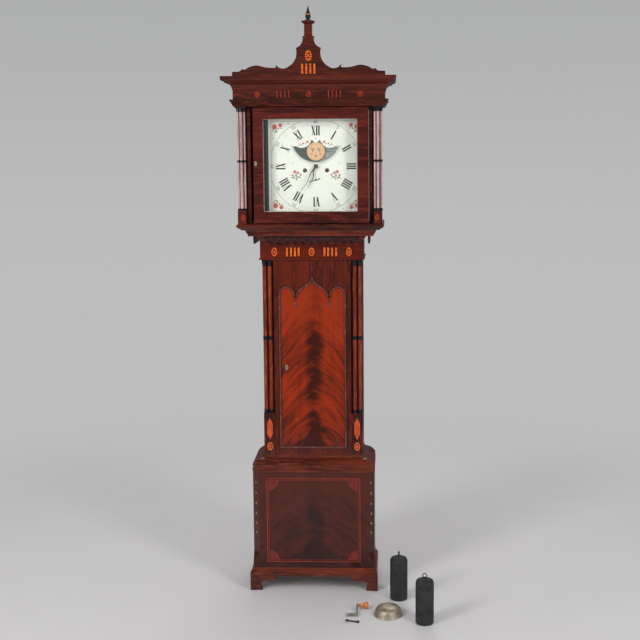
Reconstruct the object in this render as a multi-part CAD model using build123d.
from build123d import *
import os
from math import asin, atan2, cos, degrees, hypot, pi, radians, sin, sqrt

# A longcase clock in the Gothic taste, with the pieces that its owner has laid on the floor beside it.
# Millimetres. X is to the right of someone facing the dial, Y to the back, Z up.
# The origin is on the floor, midway across the plinth and midway from its front to its back.

# Plinth, from the floor up
base_depth = 228.0
base_step = 44.0
base_cant = 26.5
base_board = 18.0
foot_height = 56.0
foot_reach = 101.0
foot_leg = 38.0
foot_flare = 5.0
foot_board = 20.0
base_moulding_height = 32.0
base_moulding_out = 12.0
base_top = 466.5
cant_stop = 110.0
cant_stop_run = 38.0
base_cap_height = 57.5

# Trunk
trunk_width = 379.0
trunk_board = 15.0
back_board = 10.0
trunk_foot_overlap = 60.0
plinth_block = 44.0
plinth_block_top = 686.0
trunk_ring_height = 14.0
trunk_mid_ring = 971.0
trunk_capital_foot = 1252.0
trunk_shaft_radius = 7.5
trunk_shaft_pitch = 20.0
trunk_shaft_inset = 9.0
frame_board = 20.0
frieze_foot = 1277.0
frieze_top = 1337.0
frieze_out = 5.0
throat_top = 1392.0
throat_lip = 1368.0
cheek_top = 1530.0

# Trunk door
door_half_width = 128.0
door_foot = 549.0
door_spring = 1142.0
door_peak = 1177.0
door_apex = 1222.0
door_cusp = (64.0, 1135.0)
door_gap = 1.5
door_board = 18.0
door_lip = 7.0
door_relief = 2.5
bead_width = 7.0
bead_height = 6.0
drop_radius = 4.5
drop_length = 30.0
bud_height = 47.0
trunk_hinge_z = (649.0, 1035.0)
trunk_hinge_length = 50.0
knuckle_radius = 3.5
trunk_pin_radius = 1.5
leaf_thick = 1.2
leaf_depth = 14.0
lock_z = 865.0

# Pendant leaves under the throat moulding
leaf_out = 21.5
leaves_front = 12
leaves_side = 5
leaf_half_width = 10.5
leaf_body = 8.0

# Hood
hood_step = 72.5
hood_board = 15.0
hood_front = -115.0
hood_foot = 1415.0
hood_head = 1844.0
hood_tip_out = 10.0
hood_tip_front = -152.0
entablature_out = 14.5
entablature_front = -150.0
architrave_height = 25.0
hood_frieze_height = 35.0
cornice_height = 47.0
cornice_out = 40.0
hood_block = 31.0
hood_block_height = 50.0
hood_block_front = -146.0
hood_ring_height = 8.0
hood_mid_ring = 1642.0
hood_capital_height = 19.0
hood_shaft_radius = 5.5
hood_side_shaft_radius = 4.3
hood_shaft_spread = 11.0
hood_shaft_set_back = 8.0
hood_frame_board = 18.0
hood_frame_margin = 30.0
hood_strip = 11.0
roof_board = 12.0

# Hood door
hood_door_gap_left = 55.0
hood_door_gap_right = 45.5
hood_door_foot = 1419.0
hood_door_top = 1840.5
hood_door_board = 20.0
hood_door_back_gap = 1.0
hood_door_inset = 41.5
glass_thick = 2.5
glass_rebate = 5.0
hood_pin_radius = 2.5
hood_pin_inset = 2.5
hood_pin_depth = 12.0
escutcheon_z = 1637.0

# Crest and finial
crest_board = 16.0
crest_front = -148.0
crest_shoulder = 2093.0
pedestal_side = 28.0
pedestal_height = 53.0
finial_height = 54.0

# Dial and movement, about the centre arbor
dial_x = 20.0
dial_z = 1625.6
dial_side = 352.0
dial_thick = 2.0
dial_front = -85.0
dial_foot_radius = 3.0
dial_foot_top = 5.0
moon_centre = 105.6
moon_window_radius = 90.6
moon_lobe_radius = 36.0
moon_lobe_x = 52.0
moon_disc_radius = 95.0
moon_disc_thick = 1.2
winding_x = 41.0
winding_z = -15.0
winding_hole = 8.0
calendar_drop = 50.0
plate_width = 172.0
plate_foot = -75.6
plate_top = 88.0
plate_thick = 3.0
plate_front = -38.0
plate_gap = 56.0
pillar_radius = 5.0
seat_board = 20.0
seat_front = -48.0
seat_back = 38.0
running = 0.05
arbor_radius = 1.5
pivot_radius = 0.7
centre_radius = 2.0
pipe_wall = 1.0
barrel_radius = 23.0
wheel_thick = 1.5
great_wheel_thick = 3.0
pendulum_y = 50.0
pallet_rise = 28.0
escape_radius = 20.0
escape_z = 45.0
pendulum_length = 994.0
bob_radius = 56.0
bob_thick = 30.0
rod_radius = 2.5
spring_clear = 0.3

# Teeth and modules of the trains
great_teeth, strike_teeth = 96, 78
centre_teeth, third_teeth, escape_teeth = 60, 56, 30
centre_leaves, third_leaves, escape_leaves = 8, 8, 7
pin_teeth, gather_teeth, warn_teeth = 48, 48, 42
pin_leaves, gather_leaves, warn_leaves, fly_leaves = 8, 6, 6, 6
cannon_teeth, minute_teeth, minute_leaves, hour_teeth = 36, 36, 6, 72
centre_module = 0.9
third_module = 0.8
gather_module = 0.84
warn_module = 0.7
fly_module = 0.65
hour_module = 0.7

# Hands, in degrees clockwise from twelve, as the clock has stopped
minute_angle = 211.4
hour_angle = 197.6
calendar_angle = 253.0
minute_length = 140.0
hour_length = 82.0
hand_thick = 1.2

# Loose pieces, with their places on the floor
weight_radius = 33.0
weight_height = 166.0
weight_places = {"left": (326.0, -195.0), "right": (417.0, -413.0)}
bell_radius = 53.0
bell_height = 36.0
bell_wall = 2.5
bell_place = (286.0, -344.0)
crank_place = (173.0, -362.0)
crank_arm = 69.0
crank_bar = 40.0
crank_bar_radius = 5.5
crank_square = 5.4
handle_length = 37.0
handle_radius = 13.5
key_place = (160.0, -414.0)
key_length = 46.0
key_radius = 1.6

# What follows from those sizes
back = base_depth / 2
base_front_y = -base_depth / 2
trunk_half = trunk_width / 2
base_half = trunk_half + base_step
trunk_front = base_front_y + base_half - trunk_half
panel_back = back - back_board
cap_top = base_top + base_cap_height
hood_half = trunk_half + hood_step
hood_tip = hood_half + hood_tip_out
entablature_half = hood_half + entablature_out
hood_door_left = hood_door_gap_left - hood_half
hood_door_right = hood_half - hood_door_gap_right
leaf_pitch = 2 * (trunk_half + leaf_out) / (leaves_front + 2)
frieze_z = hood_head + architrave_height
cornice_foot = frieze_z + hood_frieze_height
cornice_top = cornice_foot + cornice_height
plate_back = plate_front + plate_thick + plate_gap
inner_front = plate_front + plate_thick


def block(x, y, z):
    size = (x[1] - x[0], y[1] - y[0], z[1] - z[0])
    return Pos((x[0] + x[1]) / 2, (y[0] + y[1]) / 2, (z[0] + z[1]) / 2) * Box(*size)


def outline(start, steps):
    """A face from a start point and steps: a point for a line, or (middle, end) for an arc."""
    edges, here = [], start
    for step in steps:
        if isinstance(step[0], tuple):
            edges.append(ThreePointArc(here, step[0], step[1]))
            here = step[1]
        elif hypot(step[0] - here[0], step[1] - here[1]) > 1e-6:
            edges.append(Line(here, step))
            here = step
    if hypot(here[0] - start[0], here[1] - start[1]) > 1e-6:
        edges.append(Line(here, start))
    return make_face(edges)


def along_y(face, y):
    """Extrudes a face drawn in X and Z between two depths."""
    return extrude(Plane.XZ.offset(-y[1]) * face, y[1] - y[0])


def along_x(face, x):
    return extrude(Plane.YZ.offset(x[0]) * face, x[1] - x[0])


def along_z(face, z):
    return extrude(Plane.XY.offset(z[0]) * face, z[1] - z[0])


def chords(start, steps):
    """The steps with each arc as four chords, so that a turned piece has few faces."""
    flat, here = [], start
    for step in steps:
        if isinstance(step[0], tuple):
            middle, end = step
            for a, b, c in ((0.375, 0.75, -0.125), (0, 1, 0), (-0.125, 0.75, 0.375), (0, 0, 1)):
                flat.append(tuple(a * p + b * q + c * r for p, q, r in zip(here, middle, end)))
            here = end
        else:
            flat.append(step)
            here = step
    return flat


def turned(start, steps):
    """A solid turned about Z from its (radius, height) outline, which starts and ends on the axis."""
    return revolve(Plane.XZ * outline(start, chords(start, steps)), Axis.Z)


def both_sides(shape):
    return [shape, mirror(shape, about=Plane.YZ)]


def moved(steps, place):
    """The steps of an outline, with each of their points put through place."""
    spots = []
    for step in steps:
        if isinstance(step[0], tuple):
            spots.append((place(*step[0]), place(*step[1])))
        else:
            spots.append(place(*step))
    return spots


def moulding(half, front, rear, start, steps):
    """A moulding round the front and both sides, mitred, from its (projection, height) outline."""
    last = steps[-1][1] if isinstance(steps[-1][0], tuple) else steps[-1]
    reach = 200.0
    across = outline((0, start[1]), [(half + start[0], start[1])]
                     + moved(steps, lambda p, z: (half + p, z)) + [(0, last[1])])
    endways = outline((rear, start[1]), [(front - start[0], start[1])]
                      + moved(steps, lambda p, z: (front - p, z)) + [(rear, last[1])])
    right = along_y(across, (front - reach, rear)) & along_x(endways, (0, half + reach))
    return right + mirror(right, about=Plane.YZ)


def write(name, solids):
    """Writes one sub-part, which may be several like solids."""
    parts = []
    for solid in solids if isinstance(solids, list) else [solids]:
        parts.extend(solid.solids())
    export_step(Compound(parts), f"parts/{name}.step")


# Plinth

def corner_cut(grow):
    """The chamfer on the plinth's right front corner, with its stop."""
    x, y, side = base_half, base_front_y, base_cant + grow
    corner = [(x + 1, y - 1), (x + 1, y + side), (x - side, y - 1)]
    start = cant_stop + cant_stop_run
    prism = along_z(outline(corner[0], corner[1:]), (start, base_top + 1))
    face = Plane.XY.offset(start) * outline(corner[0], corner[1:])
    stop = loft([face, Vertex(x + 1, y - 1, cant_stop)])
    return prism + stop


def base_front():
    """The front board, with the posts of its chamfered corners."""
    post = base_cant + base_board
    front = block((-base_half, base_half), (base_front_y, base_front_y + base_board),
                  (foot_height, base_top))
    right = block((base_half - post, base_half), (base_front_y, base_front_y + post),
                  (foot_height, base_top))
    cut = corner_cut(0)
    for side in both_sides(right):
        front += side
    for side in both_sides(cut):
        front -= side
    return front


def base_sides():
    y = (base_front_y + base_cant + base_board, panel_back)
    right = block((base_half - base_board, base_half), y, (foot_height, base_top))
    inner = base_half - base_board
    floor = block((-inner, inner), y, (foot_height, foot_height + base_board))
    return both_sides(right) + [floor]


def base_moulding():
    low, high, out = foot_height, foot_height + base_moulding_height, base_moulding_out
    steps = [(out, low), (out, low + 13), ((out - 4, low + 21), (2, low + 26)), (2, high), (0, high)]
    whole = moulding(base_half, base_front_y, back, (0, low), steps)
    return whole - block((-base_half, base_half), (base_front_y, back + 1), (low - 1, high + 1))


def bracket(length, height):
    """One face of a bracket foot: a top plate, a step, and a leg that flares at the floor."""
    leg, flare = foot_leg, foot_flare
    return outline((-flare + 3, 0), [
        (leg + flare, 0), (leg + flare, height * 0.12),
        ((leg, height * 0.3), (leg, height * 0.5)),
        ((leg + 6, height * 0.6), (length * 0.8, height * 0.62)), (length * 0.8, height * 0.73),
        (length, height * 0.75), (length, height), (-flare + 3, height), (-flare + 3, 0)])


def feet():
    """Four bracket feet, each of a front and a side face joined at the corner."""
    x, y = base_half + base_moulding_out - 2, base_front_y - base_moulding_out + 2
    front = Pos(-x, 0, 0) * along_y(bracket(foot_reach, foot_height), (y, y + foot_board))
    side = Pos(0, y, 0) * along_x(bracket(foot_reach, foot_height), (-x, -x + foot_board))
    left_front = front + side
    rear = mirror(side, about=Plane.XZ.offset(0))
    rear_plate = block((-x, -x + foot_reach * 0.5), (-y - foot_board - foot_flare, -y - foot_flare),
                       (0, foot_height))
    left_rear = (rear + rear_plate) & block((-2 * x, 0), (0, back), (0, foot_height))
    return both_sides(left_front) + both_sides(left_rear)


def base_cap():
    """The moulding that steps the plinth in to the trunk, canted at the corners."""
    low, high = base_top, cap_top
    out, lip = base_half - trunk_half, 2.0
    steps = [(out + lip, low), (out + lip, low + 8), ((out - 3, low + 12), (out - 3, low + 17)),
             (out + 1, low + 19), (out + 1, low + 24), ((out - 16, low + 40), (6, low + 47)),
             ((3, high - 6), (0, high))]
    whole = moulding(trunk_half, trunk_front, back, (0, low), steps)
    edge, front, reach = base_half + lip, base_front_y - lip, 2 * base_cant
    corner = [(edge + reach, front - reach), (edge + reach, front + base_cant + reach),
              (edge - base_cant - reach, front - reach)]
    cut = along_z(outline(corner[0], corner[1:]), (low - 1, high + 1))
    for side in both_sides(cut):
        whole -= side
    hole = block((-trunk_half, trunk_half), (trunk_front, back + 1), (low - 1, high + 1))
    return whole - hole


# Trunk

def trunk_sides():
    """The side boards, which stand in the plinth and rise behind the dial as cheeks for the seatboard,
    with the angle posts that back the corner columns."""
    low = base_top - trunk_foot_overlap
    inner = trunk_half - trunk_board
    rear_shaft = trunk_front + trunk_shaft_inset + trunk_shaft_pitch + trunk_shaft_radius
    side = block((inner, trunk_half), (rear_shaft + 0.3, panel_back), (low, cheek_top))
    x0 = trunk_half - plinth_block
    x1 = trunk_half - trunk_shaft_inset - trunk_shaft_radius - 0.3
    y0 = trunk_front + trunk_shaft_inset + trunk_shaft_radius + 0.3
    post = block((x0, x1), (y0, rear_shaft + frame_board), (plinth_block_top, frieze_foot))
    post += block((x0, inner), (rear_shaft + 0.3, rear_shaft + frame_board), (plinth_block_top, frieze_foot))
    return both_sides(side) + both_sides(post)


def trunk_plinth_blocks():
    rear_shaft = trunk_front + trunk_shaft_inset + trunk_shaft_pitch + trunk_shaft_radius
    x0 = trunk_half - plinth_block
    block_out = block((x0, trunk_half), (trunk_front, rear_shaft + 0.3), (base_top, plinth_block_top))
    return both_sides(block_out)


def cluster(radii, spots, z):
    """Round shafts or rings that stand together, fused where they meet."""
    whole = None
    for (x, y), radius in zip(spots, radii):
        one = Pos(x, y, 0) * along_z(RegularPolygon(radius, 16), z)
        whole = one if whole is None else whole + one
    return whole


def trunk_shaft_spots():
    x1 = trunk_half - trunk_shaft_inset
    y1 = trunk_front + trunk_shaft_inset
    return [(x1, y1), (x1 - trunk_shaft_pitch, y1), (x1, y1 + trunk_shaft_pitch)]


def trunk_columns():
    """Three slender shafts at each front corner, in two lengths, below and above the middle ring."""
    shafts = []
    spans = [(plinth_block_top + trunk_ring_height, trunk_mid_ring),
             (trunk_mid_ring + trunk_ring_height, trunk_capital_foot)]
    for span in spans:
        for x, y in trunk_shaft_spots():
            shaft = Pos(x, y, sum(span) / 2) * Cylinder(trunk_shaft_radius, span[1] - span[0])
            shafts += both_sides(shaft)
    return shafts


def trunk_rings():
    """The ebonised rings and capitals that bind each cluster."""
    spots = trunk_shaft_spots()
    full, slim = trunk_shaft_inset, trunk_shaft_radius + 0.2
    x0 = trunk_half - plinth_block
    rings = []
    for low in (plinth_block_top, trunk_mid_ring):
        third = trunk_ring_height / 3
        ring = cluster([full] * 3, spots, (low, low + third))
        ring += cluster([slim] * 3, spots, (low + third, low + 2 * third))
        ring += cluster([full] * 3, spots, (low + 2 * third, low + 3 * third))
        rings.append(ring)
    low, high = trunk_capital_foot, frieze_foot
    step = (high - low) / 3
    capital = cluster([slim + 0.5] * 3, spots, (low, low + step))
    capital += cluster([full] * 3, spots, (low + step, high - 6))
    capital += block((x0, trunk_half), (trunk_front, spots[2][1] + full), (high - 6, high))
    rings.append(capital)
    post_x = trunk_half - trunk_shaft_inset - trunk_shaft_radius - 0.3
    post_y = trunk_front + trunk_shaft_inset + trunk_shaft_radius + 0.3
    post = block((x0 - 1, post_x), (post_y, back), (0, high))
    side_y = trunk_front + trunk_shaft_inset + trunk_shaft_pitch + trunk_shaft_radius + 0.3
    side = block((x0 - 1, trunk_half + 1), (side_y, back), (0, high))
    frame = block((0, x0), (trunk_front, back), (0, high))
    solids = []
    for ring in rings:
        ring = ring - post - side - frame
        solids += both_sides(ring)
    return solids


def moved_edge(face, reach, count=8):
    """The face with its edge moved out by reach, or in where reach is negative."""
    whole = face
    for n in range(count):
        turn = 2 * pi * n / count
        copy = Pos(reach * cos(turn), reach * sin(turn)) * face
        whole = whole + copy if reach > 0 else whole & copy
    return whole


def gothic():
    """The door's outline: two small arches beside a tall ogee one."""
    half, foot, spring = door_half_width, door_foot, door_spring
    cusp_x, cusp_z = door_cusp
    mid, rise, ogee = (half + cusp_x) / 2, door_peak - spring, door_peak + 3
    right = [((half - 0.32 * (half - mid), spring + 0.72 * rise), (mid, door_peak)),
             ((mid - 0.68 * (mid - cusp_x), spring + 0.66 * rise), (cusp_x, cusp_z)),
             ((cusp_x * 0.8, cusp_z + 0.62 * (ogee - cusp_z)), (cusp_x * 0.42, ogee)),
             ((cusp_x * 0.17, ogee + 0.36 * (door_apex - ogee)), (0, door_apex))]
    ends = [(half, spring)] + [step[1] for step in right]
    left = []
    for end, step in zip(reversed(ends[:-1]), reversed(right)):
        left.append(((-step[0][0], step[0][1]), (-end[0], end[1])))
    return outline((-half, foot), [(half, foot), (half, spring)] + right + left)


def trunk_frame():
    """The board round the door, with the gothic head cut in it."""
    half = trunk_half - plinth_block
    board = block((-half, half), (trunk_front, trunk_front + frame_board), (base_top, frieze_foot))
    board -= along_y(moved_edge(gothic(), door_gap), (trunk_front - 1, trunk_front + frame_board + 1))
    for z in trunk_hinge_z:
        board -= hinge_mortise(z)
    bud_foot = door_apex + 1.5
    bud = turned((0, 0), [(2, 0), ((6, 9), (5, 18)), ((2, 26), (3.5, 31)), ((2, 38), (0, bud_height))])
    bud = Pos(0, trunk_front, bud_foot + 2) * bud
    bud &= block((-20, 20), (trunk_front - 20, trunk_front), (bud_foot, bud_foot + bud_height + 2))
    return [board, bud]


def pin_spot():
    return (door_half_width + door_gap / 2, trunk_front - knuckle_radius - 0.3)


def hinge_mortise(z):
    """The seat of the case's leaf in the edge of the frame, on the right."""
    x0 = door_half_width + door_gap
    half = trunk_hinge_length / 2
    return block((x0 - 1, x0 + leaf_thick - door_gap / 4), (trunk_front - 1, trunk_front + leaf_depth),
                 (z - half, z + half))


def knuckle(z, low, high):
    x, y = pin_spot()
    return Pos(x, y, z + (low + high) / 2) * Cylinder(knuckle_radius, high - low)


def case_leaves():
    """The hinge leaves on the frame, each with two outer knuckles and the pin."""
    leaves = []
    x, y = pin_spot()
    half, third = trunk_hinge_length / 2, trunk_hinge_length / 6
    for z in trunk_hinge_z:
        x0 = door_half_width + door_gap - door_gap / 4
        leaf = block((x0, x0 + leaf_thick), (y, trunk_front + leaf_depth), (z - half, z + half))
        leaf -= block((x0 - 9, x0 + 9), (y - 9, trunk_front - 0.2), (z - third - 0.2, z + third + 0.2))
        leaf += knuckle(z, third + 0.2, half)
        leaf += knuckle(z, -half, -third - 0.2)
        leaf += Pos(x, y, z) * Cylinder(trunk_pin_radius, trunk_hinge_length)
        leaves.append(leaf)
    return leaves


def door_leaves():
    """The hinge leaves on the door, each with its middle knuckle."""
    leaves = []
    x, y = pin_spot()
    half, third = trunk_hinge_length / 2, trunk_hinge_length / 6
    for z in trunk_hinge_z:
        x1 = door_half_width + door_gap / 4
        leaf = block((x1 - leaf_thick, x1), (trunk_front, trunk_front + leaf_depth), (z - half, z + half))
        leaf += block((x1 - leaf_thick, x1), (y, trunk_front), (z - third, z + third))
        leaf += knuckle(z, -third, third)
        leaf -= Pos(x, y, z) * Cylinder(trunk_pin_radius + running, trunk_hinge_length)
        leaves.append(leaf)
    return leaves


def trunk_door():
    """The door panel, with the seats of its hinge leaves and a keyhole through it. The rear of its
    arched head is cut back, so that the lobes clear the frame's cusps as the door swings."""
    panel = along_y(gothic(), (trunk_front, trunk_front + door_board))
    rear, relief = trunk_front + door_lip, along_y(moved_edge(gothic(), -door_relief), (trunk_front, back))
    head = block((-door_half_width - 1, door_half_width + 1), (rear, back), (door_spring - 60, door_apex + 1))
    panel -= head - relief
    half = trunk_hinge_length / 2
    for z in trunk_hinge_z:
        x1 = door_half_width + door_gap / 4
        panel -= block((x1 - leaf_thick, x1 + 1), (trunk_front - 1, trunk_front + leaf_depth),
                       (z - half, z + half))
    x = keyhole_x()
    panel -= Pos(x, trunk_front, lock_z) * Rot(90, 0, 0) * Cylinder(1.8, 4 * door_board)
    return panel


def keyhole_x():
    return -door_half_width + bead_width + 21


def door_bead():
    """The dark half-round bead that follows the door's edge, and the two turned drops at its cusps."""
    edge, tip = trunk_front, trunk_front - bead_height
    shoulder = trunk_front - bead_height * 0.6
    edges = [gothic()] + [moved_edge(gothic(), -share * bead_width) for share in (0.2, 0.8, 1.0)]
    bead = along_y(edges[0] - edges[3], (shoulder, edge))
    bead += along_y(edges[1] - edges[2], (tip, shoulder))
    x, y = pin_spot()
    half = trunk_hinge_length / 2 + 0.5
    for z in trunk_hinge_z:
        reach = knuckle_radius + 0.5
        bead -= block((x - reach, x + reach), (y - 9, edge + 1), (z - half, z + half))
    drop = turned((0, 0), [((2.5, 3), (2.5, 6)), ((drop_radius, 12), (3, 18)),
                           ((2, 22), (drop_radius, 26)), (drop_radius, drop_length), (0, drop_length)])
    z = door_cusp[1] - 1.6 * bead_width - drop_length
    drop = Pos(door_cusp[0], trunk_front, z) * drop
    drop &= block((0, 100), (trunk_front - 20, trunk_front), (z, z + drop_length))
    return [bead] + both_sides(drop)


def door_lock():
    """The brass keyhole plate on the face of the door, and the lock case behind it."""
    x, hole = keyhole_x(), Pos(keyhole_x(), trunk_front, lock_z) * Rot(90, 0, 0) * Cylinder(1.8, 60)
    plate = along_y(Pos(x, lock_z) * Ellipse(6, 11), (trunk_front - 1.2, trunk_front)) - hole
    rear = trunk_front + door_board
    case = block((x - 14, x + 24), (rear, rear + 9), (lock_z - 18, lock_z + 18)) - hole
    return [plate, case]


def trunk_frieze():
    """The inlaid band over the trunk, with a thin bead at its foot."""
    low, high, out = frieze_foot, frieze_top, frieze_out
    steps = [(out + 3, low), ((out + 4.5, low + 3), (out + 3, low + 6)), (out, low + 6), (out, high)]
    whole = moulding(trunk_half, trunk_front, panel_back, (0, low), steps)
    inner = trunk_half
    whole -= block((-inner, inner), (trunk_front + frame_board - 2, back + 1), (low - 1, high + 1))
    return whole


def throat():
    """The cove and steps that carry the hood out over the trunk."""
    low, high, lip = frieze_top, throat_top, throat_lip
    out = hood_tip - 28 - trunk_half
    steps = [(frieze_out, low), ((frieze_out + 4, lip - 12), (out - 35, lip)), (out - 19, lip),
             ((out - 10, lip + 3), (out - 9, lip + 10)), (out - 4, lip + 13), (out - 3, high - 5),
             (out, high)]
    whole = moulding(trunk_half, trunk_front, panel_back, (0, low), steps)
    inner = trunk_half
    return whole - block((-inner, inner), (trunk_front + frame_board, back + 1), (low - 1, high + 1))


def pendant_leaves():
    """Pointed leaves that hang from the lip of the throat moulding, along its front and sides."""
    drop = throat_lip - frieze_top
    half = leaf_half_width
    leaf = outline((-half * 0.8, 0), [(half * 0.8, 0), (half, -drop * 0.34), (half * 0.68, -drop * 0.68),
                                      (0, -drop), (-half * 0.68, -drop * 0.68), (-half, -drop * 0.34)])
    out = leaf_out
    front = trunk_front - out
    leaves = []
    for n in range(leaves_front // 2):
        x = (n + 0.5) * leaf_pitch
        one = Pos(x, 0, throat_lip) * along_y(leaf, (front - leaf_body, front))
        leaves += both_sides(one)
    for n in range(leaves_side):
        y = front + leaf_pitch * (n + 0.75)
        one = Pos(0, y, throat_lip) * along_x(leaf, (trunk_half + out, trunk_half + out + leaf_body))
        leaves += both_sides(one)
    return leaves


def backboard():
    half = base_half - base_board
    low = block((-half, half), (panel_back, back), (foot_height + base_board, base_top))
    low += block((-trunk_half, trunk_half), (panel_back, back), (base_top, hood_head - 6))
    return low


# Hood

def hood_base():
    """The moulded frame that slides on the throat moulding."""
    low, high = throat_top, hood_foot
    tip = hood_tip - hood_half
    steps = [(tip - 24, low), ((tip - 14, low + 3), (tip - 12, low + 6)),
             ((tip - 5, low + 9), (tip, low + 15)),
             ((tip - 1, high - 2), (tip - 5, high))]
    front = hood_tip_front + tip
    whole = moulding(hood_half, front, back, (tip - 24 - 1, low), steps)
    inner = trunk_half + 26
    whole -= block((-inner, inner), (hood_front + hood_frame_board, back + 1), (low - 1, high + 1))
    return whole - pivot_hole()


def pivot_hole():
    """The bores above and below the glazed door that its pivots turn in."""
    x, y = hood_pin_spot()
    middle, span = (hood_door_foot + hood_door_top) / 2, hood_door_top - hood_door_foot
    return Pos(x, y, middle) * Cylinder(hood_pin_radius + running, span + 2 * hood_pin_depth + 6)


def hood_carcass():
    """The two side boards of the hood and its top board."""
    right = block((hood_half - hood_board, hood_half), (hood_front, back), (hood_foot, hood_head))
    inner = hood_half - hood_board
    roof = block((-inner, inner), (hood_front, back), (cornice_top - roof_board, cornice_top))
    return both_sides(right) + [roof]


def hood_frame():
    """The frame that the glazed door shuts against, with an upright fillet on each side of the door."""
    half = hood_half - hood_board
    y = (hood_front, hood_front + hood_frame_board)
    whole = block((-half, half), y, (hood_foot, hood_head))
    opening = half - hood_frame_margin
    whole -= block((-opening, opening), (y[0] - 1, y[1] + 1), (hood_foot + 10, hood_head - 14))
    x0 = hood_door_right + 0.8
    strip = block((x0, x0 + hood_strip), (hood_front - 7, hood_front), (hood_foot, hood_head))
    for side in both_sides(strip):
        whole += side
    return whole


def hood_shaft_spots():
    x = hood_half + 4 - hood_block / 2
    y = hood_block_front + 11.5
    spread, rear = hood_shaft_spread, y + hood_shaft_set_back
    return [(x, y), (x - spread, rear), (x + spread, rear)]


def hood_blocks():
    x1 = hood_half + 4
    one = block((x1 - hood_block, x1), (hood_block_front, hood_front),
                (hood_foot, hood_foot + hood_block_height))
    return both_sides(one)


def hood_radii(grow):
    return [hood_shaft_radius + grow, hood_side_shaft_radius + grow, hood_side_shaft_radius + grow]


def hood_spans():
    foot = hood_foot + hood_block_height + hood_ring_height
    return [(foot, hood_mid_ring), (hood_mid_ring + hood_ring_height, hood_head - hood_capital_height)]


def hood_columns():
    """Clusters of three thin shafts in front of the hood's corners."""
    shafts = []
    for low, high in hood_spans():
        for (x, y), radius in zip(hood_shaft_spots(), hood_radii(0)):
            shafts += both_sides(Pos(x, y, (low + high) / 2) * Cylinder(radius, high - low))
    return shafts


def hood_rings():
    spots = hood_shaft_spots()
    solids = []
    for low in (hood_foot + hood_block_height, hood_mid_ring):
        half = hood_ring_height / 2
        ring = cluster(hood_radii(2.2), spots, (low, low + half))
        ring += cluster(hood_radii(1.2), spots, (low + half, low + hood_ring_height))
        solids += both_sides(ring)
    low, high = hood_head - hood_capital_height, hood_head
    capital = cluster(hood_radii(1.2), spots, (low, low + 6))
    capital += cluster(hood_radii(2.6), spots, (low + 6, high - 6))
    x = spots[0][0]
    capital += block((x - 20, x + 20), (hood_block_front - 3, hood_front), (high - 6, high))
    return solids + both_sides(capital)


def entablature():
    """Architrave and frieze in one, over the columns."""
    low, mid, high = hood_head, frieze_z, cornice_foot
    steps = [(0, low), (3, low + 9), (5, low + 9), (7, low + 17), ((11, low + 19), (11, mid)), (0, mid),
             (0, high)]
    whole = moulding(entablature_half, entablature_front, back, (0, low), steps)
    inner = hood_half - hood_board
    whole -= block((-inner, inner), (hood_front, back + 1), (low - 1, high + 1))
    return whole - pivot_hole()


def cornice():
    low, high, out = cornice_foot, cornice_top, cornice_out
    steps = [(0, low), (2, low), ((9, low + 17), (out - 14, low + 24)), (out - 12, low + 30),
             ((out - 3, low + 32), (out - 1, high - 12)), (out, high - 12), (out, high), (0, high)]
    whole = moulding(entablature_half, entablature_front, back, (0, low), steps)
    inner = hood_half - hood_board
    return whole - block((-inner, inner), (hood_front, back + 1), (low - 1, high + 1))


def crest():
    """The pierced-edge board over the cornice: a pagoda centre with a long wave at each side."""
    foot, top = cornice_top, crest_shoulder
    rise = top - foot
    end = entablature_half + 1
    tip = end * 0.425

    def up(share):
        return foot + rise * share

    right = [(21.3, up(1)), ((26, up(0.8)), (45.6, up(0.707))), (43, up(0.66)), (43, up(0.56)),
             ((51, up(0.385)), (73, up(0.24))), ((99, up(0.2)), (tip, up(0.3))), (tip, up(0.218)),
             ((tip + 34, up(0.225)), (178, up(0.27))), ((205, up(0.26)), (231, up(0.17))),
             (241, up(0.19)), ((247, up(0.15)), (254, up(0.123))), (end, up(0.12)), (end, foot)]
    half = along_y(outline((0, foot), [(0, up(1))] + right + [(0, foot)]),
                   (crest_front, crest_front + crest_board))
    return half + mirror(half, about=Plane.YZ)


def pedestal():
    """The square block on the crest, with the tapered cap that the finial stands on."""
    half, cap = pedestal_side / 2, 10.0
    low, high = crest_shoulder, crest_shoulder + pedestal_height
    face = outline((0, low),
                   [(half, low), (half, high - cap), (half + 6, high - cap + 4), (half + 9, high - 3),
                              (half + 9, high), (0, high)])
    right = along_y(face, (-50, 50))
    whole = right + mirror(right, about=Plane.YZ)
    whole &= Rot(0, 0, 90) * whole
    return Pos(0, crest_front + crest_board / 2, 0) * whole


def finial():
    low = crest_shoulder + pedestal_height
    grow = finial_height
    whole = turned((0, 0), [(12, 0), (12, grow * 0.1), ((8, grow * 0.13), (6.7, grow * 0.17)),
                            ((11.5, grow * 0.28), (7, grow * 0.4)), (11, grow * 0.42), (11, grow * 0.48),
                            (9.6, grow * 0.48), ((4.6, grow * 0.66), (0.8, grow)), (0, grow)])
    return Pos(0, crest_front + crest_board / 2, low) * whole


# Hood door

def hood_door_y():
    rear = hood_front - hood_door_back_gap
    return (rear - hood_door_board, rear)


def hood_pin_spot():
    return (hood_door_right - hood_pin_inset, hood_door_y()[0] + 7)


def hood_door():
    """The frame of the glazed door, rebated at the back for its glass."""
    y = hood_door_y()
    inset = hood_door_inset
    left, right = hood_door_left + inset - 5.5, hood_door_right - inset
    foot, top = hood_door_foot + inset, hood_door_top - inset
    whole = block((hood_door_left, hood_door_right), y, (hood_door_foot, hood_door_top))
    whole -= block((left, right), (y[0] - 1, y[1] + 1), (foot, top))
    edge = glass_rebate
    whole -= block((left - edge, right + edge), (y[0] + 12, y[1] + 1), (foot - edge, top + edge))
    return whole


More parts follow.
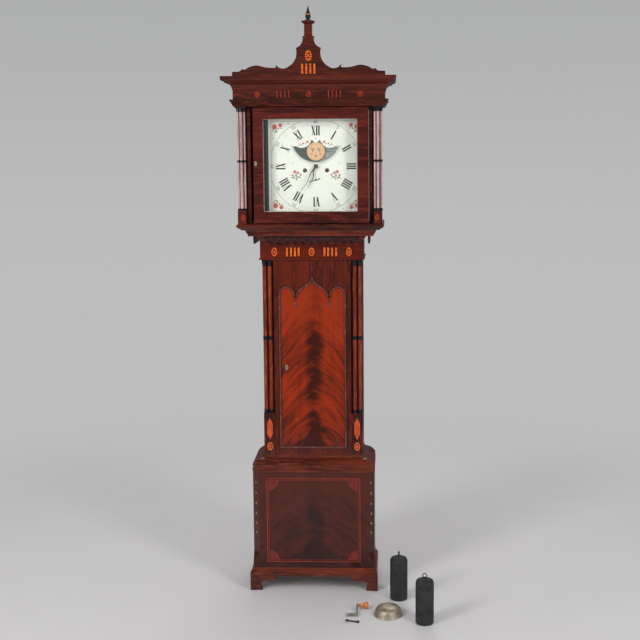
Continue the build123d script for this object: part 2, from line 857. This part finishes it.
def hood_glass():
    y = hood_door_y()
    inset, edge = hood_door_inset, glass_rebate
    x = (hood_door_left + inset - 5.5 - edge, hood_door_right - inset + edge)
    return block(x, (y[0] + 12, y[0] + 12 + glass_thick),
                 (hood_door_foot + inset - edge, hood_door_top - inset + edge))


def hood_door_brasses():
    """The pivots fixed in the door's ends, and the small keyhole plate on its left stile."""
    x, y = hood_pin_spot()
    radius, depth = hood_pin_radius, hood_pin_depth
    solids = []
    for edge, way in ((hood_door_foot, -1), (hood_door_top, 1)):
        length = depth + 2.5
        solids.append(Pos(x, y, edge + way * (length / 2 - 0.2)) * Cylinder(radius, length))
        solids[-1] -= block((x - 9, x + 9), (y - 9, y + 9), tuple(sorted((edge, edge - way * 9))))
    hole_x = hood_door_left + 9
    front = hood_door_y()[0]
    plate = along_y(Pos(hole_x, escutcheon_z) * Ellipse(4.5, 9), (front - 1.2, front))
    return solids + [plate - Pos(hole_x, front, escutcheon_z) * Rot(90, 0, 0) * Cylinder(1.5, 10)]


# Dial and movement

def at_dial(shape):
    return Pos(dial_x, 0, dial_z) * shape


def shaft(x, z, radius, y):
    return Pos(x, (y[0] + y[1]) / 2, z) * Rot(90, 0, 0) * Cylinder(radius, y[1] - y[0])


def spread(start, distance, turn):
    """A point at a distance from another, at turn degrees anticlockwise from the right."""
    return (start[0] + distance * cos(radians(turn)), start[1] + distance * sin(radians(turn)))


great_spot = (winding_x, winding_z)
strike_spot = (-winding_x, winding_z)
centre_spot = (0.0, 0.0)
great_module = 2 * hypot(winding_x, winding_z) / (great_teeth + centre_leaves)
third_distance = centre_module * (centre_teeth + third_leaves) / 2
escape_distance = third_module * (third_teeth + escape_leaves) / 2
third_rise = (third_distance ** 2 - escape_distance ** 2 + escape_z ** 2) / (2 * escape_z)
third_spot = (sqrt(third_distance ** 2 - third_rise ** 2), third_rise)
escape_spot = (0.0, escape_z)
pallet_spot = (0.0, escape_z + pallet_rise)
pin_spot_xz = spread(strike_spot, great_module * (strike_teeth + pin_leaves) / 2, 104.4)
gather_spot = spread(pin_spot_xz, gather_module * (pin_teeth + gather_leaves) / 2, 51.8)
warn_spot = spread(gather_spot, warn_module * (gather_teeth + warn_leaves) / 2, 118.5)
fly_spot = spread(warn_spot, fly_module * (warn_teeth + fly_leaves) / 2, 39.8)
hour_distance = hour_module * (minute_leaves + hour_teeth) / 2
cannon_module = 2 * hour_distance / (cannon_teeth + minute_teeth)
minute_spot = spread(centre_spot, hour_distance, 120.0)
hammer_spot = (-64.0, 44.0)


def phase(near, near_phase, near_teeth, far, far_teeth):
    """The angle of a tooth of the far wheel that puts a gap of it opposite a tooth of the near one."""
    line = atan2(far[1] - near[1], far[0] - near[0])
    pitch = 2 * pi / near_teeth
    share = ((line - near_phase) / pitch) % 1.0
    return line + pi + (share + 0.5) * 2 * pi / far_teeth


great_phase = 0.0
centre_phase = phase(great_spot, great_phase, great_teeth, centre_spot, centre_leaves)
third_phase = phase(centre_spot, 0.0, centre_teeth, third_spot, third_leaves)
escape_phase = phase(third_spot, 0.0, third_teeth, escape_spot, escape_leaves)
pin_phase = phase(strike_spot, 0.0, strike_teeth, pin_spot_xz, pin_leaves)
gather_phase = phase(pin_spot_xz, 0.0, pin_teeth, gather_spot, gather_leaves)
warn_phase = phase(gather_spot, 0.0, gather_teeth, warn_spot, warn_leaves)
fly_phase = phase(warn_spot, 0.0, warn_teeth, fly_spot, fly_leaves)
minute_phase = phase(centre_spot, 0.0, cannon_teeth, minute_spot, minute_teeth)
hour_phase = phase(minute_spot, 0.0, minute_leaves, centre_spot, hour_teeth)


def toothed(teeth, module, start, y, leaf=False):
    """A wheel or pinion of pointed teeth, centred on the Y axis, with a tooth at the angle start."""
    radius = teeth * module / 2
    tip = radius + module * (0.75 if leaf else 0.85)
    root = radius - module * (1.25 if leaf else 1.15)
    half = pi / teeth * (0.5 if leaf else 0.52)
    points = []
    for n in range(teeth):
        middle = start + 2 * pi * n / teeth
        for turn, reach in ((-half, root), (0, tip), (half, root)):
            points.append((reach * cos(middle + turn), reach * sin(middle + turn)))
    return along_y(make_face(Polyline(*points, close=True)), y)


def crossed(teeth, module, start, y, hub):
    """A wheel crossed out to four spokes."""
    wheel = toothed(teeth, module, start, y)
    rim = teeth * module / 2 - module * 1.2 - 2.4
    inner = hub + 2.5
    ring = Circle(rim) - Circle(inner)
    ring -= Rectangle(2.6, 4 * rim)
    ring -= Rectangle(4 * rim, 2.6)
    return wheel - along_y(ring, (y[0] - 1, y[1] + 1))


def arbor(spot, low, high, radius=arbor_radius):
    """An arbor between the plates, with a pivot in each."""
    x, z = spot
    whole = shaft(x, z, radius, (low, high))
    return whole + shaft(x, z, pivot_radius, (plate_front + 0.5, plate_back + plate_thick - 0.5))


def inner_y():
    return (inner_front + 0.3, plate_back - 0.3)


def placed(spot, shape):
    return Pos(spot[0], 0, spot[1]) * shape


def barrel(spot, teeth, start):
    """A great wheel with its barrel, and the square that the crank winds."""
    low, high = inner_front + 12, plate_back - 13
    wheel_y = (plate_back - 12, plate_back - 12 + great_wheel_thick)
    whole = placed(spot, toothed(teeth, great_module, start, wheel_y))
    whole += shaft(*spot, barrel_radius, (low, high))
    whole += shaft(*spot, 3.5, (wheel_y[0] - 1, plate_back - 0.3))
    whole += shaft(*spot, 3.5, (inner_front + 0.3, low))
    whole += shaft(*spot, 2.5, (plate_back - 1, plate_back + plate_thick - 0.5))
    whole += shaft(*spot, 3.0, (plate_front - 6, inner_front + 1))
    side = crank_square - 0.4
    x, z = spot
    whole += block((x - side / 2, x + side / 2), (dial_front + 3, plate_front - 5),
                   (z - side / 2, z + side / 2))
    return at_dial(whole)


def great_wheel():
    return barrel(great_spot, great_teeth, great_phase)


def strike_wheel():
    return barrel(strike_spot, strike_teeth, 0.0)


def centre_wheel():
    """The centre arbor, which reaches through the dial, with its pinion and wheel."""
    low, high = inner_y()
    wheel_y = (inner_front + 7, inner_front + 7 + wheel_thick)
    whole = crossed(centre_teeth, centre_module, 0.0, wheel_y, 4)
    whole += toothed(centre_leaves, great_module, centre_phase, (plate_back - 15, plate_back - 6), leaf=True)
    whole += shaft(0, 0, arbor_radius, (low, high))
    whole += shaft(0, 0, centre_radius, (low, wheel_y[1] + 3))
    whole += shaft(0, 0, pivot_radius, (high - 1, plate_back + plate_thick - 0.5))
    whole += shaft(0, 0, centre_radius - 0.4, (plate_front - 3, low + 1))
    return [at_dial(whole), at_dial(cannon_pipe())]


def cannon_pipe():
    """The pipe on the centre arbor that carries the minute hand, with its wheel."""
    wheel_y = (plate_front - 6, plate_front - 4.5)
    whole = toothed(cannon_teeth, cannon_module, 0.0, wheel_y)
    whole += shaft(0, 0, centre_radius + pipe_wall, (dial_front - 15, plate_front - 3))
    return whole


def train_wheel(spot, leaves, leaf_module, leaf_start, leaf_y, teeth, module, wheel_y):
    low, high = inner_y()
    whole = arbor(spot, low, high)
    whole += placed(spot, toothed(leaves, leaf_module, leaf_start, leaf_y, leaf=True))
    if teeth:
        whole += placed(spot, crossed(teeth, module, 0.0, wheel_y, 3))
    return whole


def third_wheel():
    y = plate_back - 5.5
    return at_dial(train_wheel(third_spot, third_leaves, centre_module, third_phase,
                               (inner_front + 3, inner_front + 12), third_teeth, third_module,
                               (y, y + wheel_thick)))


def escape_wheel():
    """The escape wheel: thirty hooked teeth, undercut on one side."""
    points = []
    for n in range(escape_teeth):
        turn = 2 * pi * n / escape_teeth
        root = escape_radius - 5
        for share, reach in ((-0.1, root), (0.28, escape_radius), (0.36, escape_radius), (0.3, root)):
            angle = turn + share * 2 * pi / escape_teeth
            points.append((reach * cos(angle), reach * sin(angle)))
    y = (inner_front + 29, inner_front + 29 + wheel_thick)
    wheel = along_y(make_face(Polyline(*points, close=True)), y)
    rim, inner = escape_radius - 7.5, 5.5
    ring = Circle(rim) - Circle(inner) - Rectangle(2.2, 4 * rim) - Rectangle(4 * rim, 2.2)
    wheel -= along_y(ring, (y[0] - 1, y[1] + 1))
    whole = train_wheel(escape_spot, escape_leaves, third_module, escape_phase,
                        (plate_back - 8, plate_back - 2), 0, 0, y)
    return at_dial(whole + placed(escape_spot, wheel))


def pallets():
    """The anchor on its arbor, with the crutch behind the back plate that drives the pendulum."""
    x, z = pallet_spot
    y = (inner_front + 27, inner_front + 33)
    reach = escape_radius + 2
    nose_x, nose_z = reach * 0.76, escape_z + reach * 0.66
    right = [(5, z - 4), (nose_x + 3, nose_z + 3.5), (nose_x + 1.5, nose_z - 2.5),
             (nose_x - 0.6, nose_z + 0.2),
             ((nose_x * 0.5, nose_z + 5.5), (0, nose_z + 7.0))]
    half = along_y(outline((0, z + 5), [(4, z + 4)] + right + [(0, z + 5)]), y)
    whole = half + mirror(half, about=Plane.YZ)
    low, rear = inner_front + 0.3, plate_back + plate_thick
    whole += shaft(x, z, arbor_radius, (low, rear + 10))
    whole += shaft(x, z, pivot_radius, (plate_front + 0.5, rear + 14.5))
    crutch_y = (rear + 4, rear + 6)
    foot = z - 120
    whole += block((-2.5, 2.5), crutch_y, (foot, z + 3))
    for side in both_sides(block((rod_radius + spring_clear, rod_radius + spring_clear + 2),
                                 (crutch_y[0], pendulum_y + rod_radius), (foot, foot + 6))):
        whole += side
    whole += block((-rod_radius - 2, rod_radius + 2), crutch_y, (foot, foot + 6))
    return at_dial(whole)


def pendulum():
    """Suspension spring, rod, bob and rating nut, as three pieces that swing as one."""
    x, z = pallet_spot
    y = pendulum_y
    foot = z - pendulum_length - bob_radius
    spring = block((-0.3, 0.3), (y - 4, y + 4), (z - 24, z - 0.5))
    rod = Pos(0, y, (foot - 26 + z - 22) / 2) * Cylinder(rod_radius, (z - 22) - (foot - 26))
    rod -= block((-0.3, 0.3), (y - 4, y + 4), (z - 24, z - 20))
    centre = z - pendulum_length
    sag = bob_thick / 2
    bob = turned((0, -sag), [((bob_radius * 0.62, -sag * 0.62), (bob_radius, -1)), (bob_radius, 1),
                             ((bob_radius * 0.62, sag * 0.62), (0, sag))])
    bob = Pos(0, y, centre) * Rot(90, 0, 0) * bob
    bob -= Pos(0, y, centre) * Cylinder(rod_radius + running, 3 * bob_radius)
    nut = Pos(0, y, foot - 4.5) * Cylinder(9, 9) - Pos(0, y, foot) * Cylinder(rod_radius + running, 40)
    return [at_dial(spring + rod), at_dial(bob), at_dial(nut)]


def movement_frame():
    """The two plates, with a hole for every arbor, and the five pillars between them."""
    half = plate_width / 2
    front = block((-half, half), (plate_front, inner_front), (plate_foot, plate_top))
    rear = block((-half, half), (plate_back, plate_back + plate_thick), (plate_foot, plate_top))
    y = (plate_front - 1, plate_back + plate_thick + 1)
    for spot in (third_spot, escape_spot, pin_spot_xz, gather_spot, warn_spot, fly_spot):
        hole = shaft(*spot, pivot_radius + running, y)
        front, rear = front - hole, rear - hole
    front -= shaft(*pallet_spot, pivot_radius + running, y)
    rear -= shaft(*pallet_spot, arbor_radius + 1, y)
    front -= shaft(0, 0, centre_radius - 0.4 + running, y)
    rear -= shaft(0, 0, pivot_radius + running, y)
    front -= shaft(*hammer_spot, pivot_radius + running, y)
    rear -= shaft(*hammer_spot, pivot_radius + running, y)
    for spot in (great_spot, strike_spot):
        front -= shaft(*spot, 3.0 + running, y)
        rear -= shaft(*spot, 2.5 + running, y)
    pillars = []
    edge = half - 8
    for x, z in ((-edge, plate_foot + 8), (edge, plate_foot + 8),
                 (-edge, plate_top - 8), (edge, plate_top - 8),
                 (0, plate_foot + 22)):
        pillars.append(at_dial(shaft(x, z, pillar_radius, (inner_front, plate_back))))
    stud = shaft(*minute_spot, 1.5, (plate_front - 15.5, plate_front))
    return [at_dial(front + stud), at_dial(rear)] + pillars


def cocks():
    """The back cock with its suspension chops, and the stand that the bell is taken from."""
    x, z = pallet_spot
    rear = plate_back + plate_thick
    bridge = (rear + 11, rear + 15)
    cock = block((-24, 24), bridge, (z - 8, z + 14))
    for side in both_sides(block((15, 24), (rear, bridge[0]), (z - 8, z + 14))):
        cock += side
    cock -= shaft(x, z, pivot_radius + running, (rear - 1, rear + 30))
    chops = block((-7, 7), (bridge[1] - 1, pendulum_y + 7), (z + 3, z + 14))
    chops -= block((-0.35, 0.35), (pendulum_y - 4.05, pendulum_y + 4.05), (z - 50, z + 50))
    cock += chops
    hanger = block((-0.3, 0.3), (pendulum_y - 4, pendulum_y + 4), (z, z + 16))
    hanger += block((-4, 4), (pendulum_y - 4, pendulum_y + 4), (z + 14, z + 20))
    stand = block((-48, -34), (rear, rear + 3), (z - 14, z + 8))
    stand += Pos(-41, rear + 5.5, z + 14) * Cylinder(2.5, 56)
    stand += Pos(-41, rear + 5.5, z + 30) * Cylinder(5, 2)
    stand += block((-44, -38), (rear + 2, rear + 5.5), (z - 14, z + 4))
    return [at_dial(cock), at_dial(hanger), at_dial(stand)]


def pin_wheel():
    """The pin wheel, whose eight pins lift the hammer."""
    y = inner_front + 9
    whole = train_wheel(pin_spot_xz, pin_leaves, great_module, pin_phase, (plate_back - 15, plate_back - 6),
                        pin_teeth, gather_module, (y, y + wheel_thick))
    rim = pin_teeth * gather_module / 2 - gather_module * 1.2 - 1.3
    for n in range(8):
        x, z = spread(pin_spot_xz, rim, 45 * n)
        whole += shaft(x, z, 0.8, (y - 5, y + 0.5))
    return at_dial(whole)


def gather_wheel():
    y = inner_front + 19
    return at_dial(train_wheel(gather_spot, gather_leaves, gather_module, gather_phase,
                               (inner_front + 6, inner_front + 14), gather_teeth, warn_module,
                               (y, y + wheel_thick)))


def warn_wheel():
    y = inner_front + 26
    return at_dial(train_wheel(warn_spot, warn_leaves, warn_module, warn_phase,
                               (inner_front + 16, inner_front + 24), warn_teeth, fly_module,
                               (y, y + wheel_thick)))


def fly():
    """The air brake of the strike: a pinion with two thin vanes."""
    whole = train_wheel(fly_spot, fly_leaves, fly_module, fly_phase, (inner_front + 23, inner_front + 30),
                        0, 0, (0, 1))
    x, z = fly_spot
    whole += block((x - 12, x + 12), (inner_front + 33, plate_back - 4), (z - 0.4, z + 0.4))
    whole += shaft(x, z, 2.2, (inner_front + 33, plate_back - 4))
    return at_dial(whole)


def hammer():
    """The bell hammer on its arbor, with the tail that the pins lift."""
    x, z = hammer_spot
    low, high = inner_y()
    whole = arbor(hammer_spot, low, high)
    tail_y = (inner_front + 4.5, inner_front + 7.5)
    away = hypot(x - pin_spot_xz[0], z - pin_spot_xz[1])
    rim = pin_teeth * gather_module / 2 - gather_module * 1.2 - 1.3 + 0.8 + 1.8
    share = 1 - rim / away
    length = away * share
    tail = along_y(Pos(length / 2, 0) * Rectangle(length, 3), tail_y)
    turn = degrees(atan2(pin_spot_xz[1] - z, pin_spot_xz[0] - x))
    whole += placed(hammer_spot, Rot(0, -turn, 0) * tail)
    arm_y = plate_back - 10
    whole += block((x - 1.5, x + 1.5), (arm_y - 1.5, arm_y + 1.5), (z, z + 72))
    whole += Pos(x + 1, arm_y, z + 72) * Rot(0, 90, 0) * Cylinder(5.5, 18)
    return at_dial(whole)


def minute_wheel():
    whole = placed(minute_spot,
                   toothed(minute_teeth, cannon_module, minute_phase, (plate_front - 6, plate_front - 4.5)))
    whole += placed(minute_spot,
                    toothed(minute_leaves, hour_module, 0.0, (plate_front - 14, plate_front - 5), leaf=True))
    return at_dial(whole - shaft(*minute_spot, 1.5 + running, (plate_front - 30, plate_front + 1)))


def hour_wheel():
    """The hour wheel on its pipe, which turns on the cannon pipe and carries the hour hand."""
    inner = centre_radius + pipe_wall + running
    whole = toothed(hour_teeth, hour_module, hour_phase, (plate_front - 13, plate_front - 11.5))
    whole += shaft(0, 0, inner + pipe_wall, (dial_front - 9.5, plate_front - 9.5))
    return at_dial(whole - shaft(0, 0, inner, (dial_front - 40, plate_front + 1)))


def pointer(length, swing, width, collet, y):
    """A serpentine hand that points up from the dial's centre, wavier towards its pointed tip."""
    count = 16
    left, right = [], []
    for n in range(count + 1):
        share = n / count
        reach = collet * 0.8 + (length - collet * 0.8) * share
        sway = swing * sin(3 * pi * share) * (1 - share * 0.5)
        half = width * (1 - share) + 0.35
        left.append((sway - half, reach))
        right.append((sway + half, reach))
    hand = along_y(make_face(Polyline(*(left + right[::-1]), close=True)), y)
    return hand + shaft(0, 0, collet, y)


def clockwise(shape, angle):
    return Rot(0, angle, 0) * shape


def minute_hand():
    y = dial_front - 13.5
    hand = pointer(minute_length, 3.2, 1.6, 6.5, (y, y + hand_thick))
    inner = centre_radius + pipe_wall
    return at_dial(clockwise(hand, minute_angle) - shaft(0, 0, inner, (y - 9, y + 9)))


def hour_hand():
    y = dial_front - 9.2
    hand = pointer(hour_length, 4.0, 2.4, 8.0, (y, y + hand_thick))
    inner = centre_radius + 2 * pipe_wall + running
    return at_dial(clockwise(hand, hour_angle) - shaft(0, 0, inner, (y - 9, y + 9)))


def calendar():
    """The small calendar hand on its stud, with the disc behind the dial that carries it round."""
    y = dial_front - 2.2
    hand = outline((-2.2, -18), [(0, -12), (2.2, -18), (0.8, -4), (4, 0), (0.8, 4), (1.4, 20), (0, 27),
                                 (-1.4, 20), (-0.8, 4), (-4, 0), (-0.8, -4)])
    whole = clockwise(along_y(hand, (y, y + hand_thick)), calendar_angle)
    whole += shaft(0, 0, 2, (y, dial_front + dial_thick + 8))
    rear = dial_front + dial_thick
    whole += shaft(0, 0, 30, (rear + 4, rear + 5.5))
    return at_dial(placed((0, -calendar_drop), whole))


def moon_spot():
    return (0.0, moon_centre)


def moon_disc():
    rear = dial_front + dial_thick
    whole = shaft(*moon_spot(), moon_disc_radius, (rear + 0.8, rear + 0.8 + moon_disc_thick))
    whole -= shaft(*moon_spot(), 2.0 + running, (rear - 9, rear + 9))
    return at_dial(whole)


def moon_window():
    """The window that shows the moon: a round one cut off by two lobes and a small scallop."""
    window = Pos(0, moon_centre) * Circle(moon_window_radius)
    flat = moon_centre - moon_window_radius + 59
    window -= Pos(0, flat + dial_side) * Rectangle(2 * dial_side, 2 * dial_side - 46)
    for side in (-1, 1):
        window -= Pos(side * moon_lobe_x, moon_centre - 1.6) * Circle(moon_lobe_radius)
        window -= Pos(side * (moon_lobe_x + 100), flat + 100) * Rectangle(200, 200)
    return window - Pos(0, moon_centre - 5.6) * Circle(12.6)


def dial():
    """The iron dial, with its window, holes and feet, and the stud of the moon disc."""
    half = dial_side / 2
    rear = dial_front + dial_thick
    plate = block((-half, half), (dial_front, rear), (-half, half))
    plate -= along_y(moon_window(), (dial_front - 1, rear + 1))
    plate -= shaft(0, 0, centre_radius + 2 * pipe_wall + running + 1.5, (dial_front - 1, rear + 1))
    for side in (-1, 1):
        plate -= shaft(side * winding_x, winding_z, winding_hole, (dial_front - 1, rear + 1))
    plate -= shaft(0, -calendar_drop, 2 + running, (dial_front - 1, rear + 1))
    plate += shaft(*moon_spot(), 2.0, (rear - 0.5, rear + 4))
    feet_x = plate_width / 2 - 8
    for x in (-feet_x, feet_x):
        for z in (plate_foot + 20, dial_foot_top):
            plate += shaft(x, z, dial_foot_radius, (rear - 0.5, plate_front))
    return at_dial(plate)


def seatboard():
    """The board on the cheeks that the movement stands on, slotted for the lines."""
    top = dial_z + plate_foot
    low = top - seat_board
    board = block((-trunk_half, trunk_half), (seat_front, seat_back), (low, top))
    for x in (dial_x - winding_x, dial_x + winding_x):
        board -= block((x - 28, x + 28), (inner_front + 8, plate_back - 12), (low - 1, top + 1))
    return board


# Loose pieces

def weight(place):
    """A cast weight with a domed head and a wire eye."""
    radius, height = weight_radius, weight_height
    body = turned((0, 0), [(radius - 2, 0), ((radius - 0.6, 0.6), (radius, 2)), (radius, height - 8),
                           ((radius * 0.8, height - 2), (radius * 0.3, height)), (0, height)])
    wire = 1.6
    body += Pos(0, 0, height + 2) * Cylinder(wire, 8)
    ring = RegularPolygon(7.5 + wire, 12) - RegularPolygon(7.5 - wire, 12)
    body += Pos(0, 0, height + 5 + 7) * along_y(ring, (-wire, wire))
    return Pos(place[0], place[1], 0) * body


def bell():
    """A shallow cast bell, lying on its mouth, with its mounting hole in the crown."""
    radius, height, wall = bell_radius, bell_height, bell_wall
    shell = turned((0, height - wall), [
        (0, height), (radius * 0.42, height), ((radius * 0.86, height * 0.72), (radius * 0.96, height * 0.2)),
        (radius, 0), (radius - wall * 1.3, 0), (radius * 0.96 - wall, height * 0.2),
        ((radius * 0.86 - wall * 0.8, height * 0.72 - wall * 0.7), (radius * 0.42, height - wall))])
    shell -= Pos(0, 0, height) * Cylinder(1.9, 20)
    return Pos(bell_place[0], bell_place[1], 0) * shell


def crank_tilt():
    return degrees(asin((handle_radius - crank_bar_radius) / crank_arm))


def crank_frame(shape):
    """Puts a shape drawn about the socket's axis, with the arm along Y, on the floor."""
    return Pos(crank_place[0], crank_place[1], crank_bar_radius) * Rot(crank_tilt(), 0, 0) * shape


def crank():
    """The winding crank: a socket barrel for the square, an arm, and a peg for the handle."""
    length, radius = crank_bar, crank_bar_radius
    whole = Pos(2 - length / 2, 0, 0) * Rot(0, 90, 0) * Cylinder(radius, length)
    whole += block((-4, 2), (0, crank_arm), (-2, 2))
    whole += Pos(-1, crank_arm, 0) * Rot(0, 90, 0) * Cylinder(5, 8)
    whole += Pos(16, crank_arm, 0) * Rot(0, 90, 0) * Cylinder(2, 32)
    side = crank_square
    whole -= block((2 - length - 1, 2 - length + 24), (-side / 2, side / 2), (-side / 2, side / 2))
    return crank_frame(whole)


def crank_handle():
    """The turned wooden grip on the crank's peg, flared at its end."""
    wide, slim = handle_radius, 6.0
    end = handle_length
    grip = turned((0, 0), [(slim, 0), ((slim - 0.8, 8), (slim + 0.5, 15)), ((slim + 2, 22), (wide - 0.4, 27)),
                           ((wide, 29), (wide - 0.4, end - 5)), ((wide * 0.7, end - 1.6), (3, end)),
                           (0, end)])
    grip -= Cylinder(2.0 + running, 66)
    grip = Rot(0, 90, 0) * grip
    return crank_frame(Pos(3.3, crank_arm, 0) * grip)


def case_keys():
    """Two small steel keys for the doors, one lying across the other."""
    keys = []
    over = 2 * key_radius
    tilt = degrees(atan2(over, key_length / 2))
    for turn, lift, lean in ((-28.0, 0.0, 0.0), (6.0, over, tilt)):
        stem = Rot(0, 90, 0) * Cylinder(key_radius, key_length)
        stem += block((key_length / 2 - 9, key_length / 2 - 2), (0, 7), (-0.8, 0.8))
        stem += Pos(-key_length / 2, 0, 0) * Box(9, 13, 2.4)
        key = Rot(0, 0, turn) * Rot(0, lean, 0) * stem
        keys.append(Pos(key_place[0], key_place[1], key_radius + lift) * key)
    return keys


os.makedirs("parts", exist_ok=True)
pieces = {
    "plinth_feet": feet,
    "plinth_moulding": base_moulding,
    "plinth_front": base_front,
    "plinth_sides": base_sides,
    "plinth_cap_moulding": base_cap,
    "backboard": backboard,
    "trunk_sides": trunk_sides,
    "trunk_front_frame": trunk_frame,
    "trunk_plinth_blocks": trunk_plinth_blocks,
    "trunk_columns": trunk_columns,
    "trunk_column_rings": trunk_rings,
    "trunk_frieze": trunk_frieze,
    "trunk_hinge_leaves": case_leaves,
    "throat_moulding": throat,
    "pendant_leaves": pendant_leaves,
    "seatboard": seatboard,
    "trunk_door": trunk_door,
    "trunk_door_bead": door_bead,
    "trunk_door_brasses": lambda: door_lock() + door_leaves(),
    "hood_base_moulding": hood_base,
    "hood_carcass": hood_carcass,
    "hood_front_frame": hood_frame,
    "hood_plinth_blocks": hood_blocks,
    "hood_columns": hood_columns,
    "hood_column_rings": hood_rings,
    "hood_entablature": entablature,
    "hood_cornice": cornice,
    "hood_crest": crest,
    "finial_pedestal": pedestal,
    "finial": finial,
    "hood_door_frame": hood_door,
    "hood_door_glass": hood_glass,
    "hood_door_brasses": hood_door_brasses,
    "dial": dial,
    "movement_plates": movement_frame,
    "back_cock_and_bell_stand": cocks,
    "going_barrel": great_wheel,
    "centre_arbor": centre_wheel,
    "minute_hand": minute_hand,
    "third_wheel": third_wheel,
    "escape_wheel": escape_wheel,
    "pallets": pallets,
    "pendulum": pendulum,
    "minute_wheel": minute_wheel,
    "hour_wheel": hour_wheel,
    "hour_hand": hour_hand,
    "strike_barrel": strike_wheel,
    "pin_wheel": pin_wheel,
    "gathering_wheel": gather_wheel,
    "warning_wheel": warn_wheel,
    "fly": fly,
    "bell_hammer": hammer,
    "calendar_hand": calendar,
    "moon_disc": moon_disc,
    "weight_left": lambda: weight(weight_places["left"]),
    "weight_right": lambda: weight(weight_places["right"]),
    "bell": bell,
    "crank": crank,
    "crank_handle": crank_handle,
    "case_keys": case_keys,
}
for name, make in pieces.items():
    write(name, make())
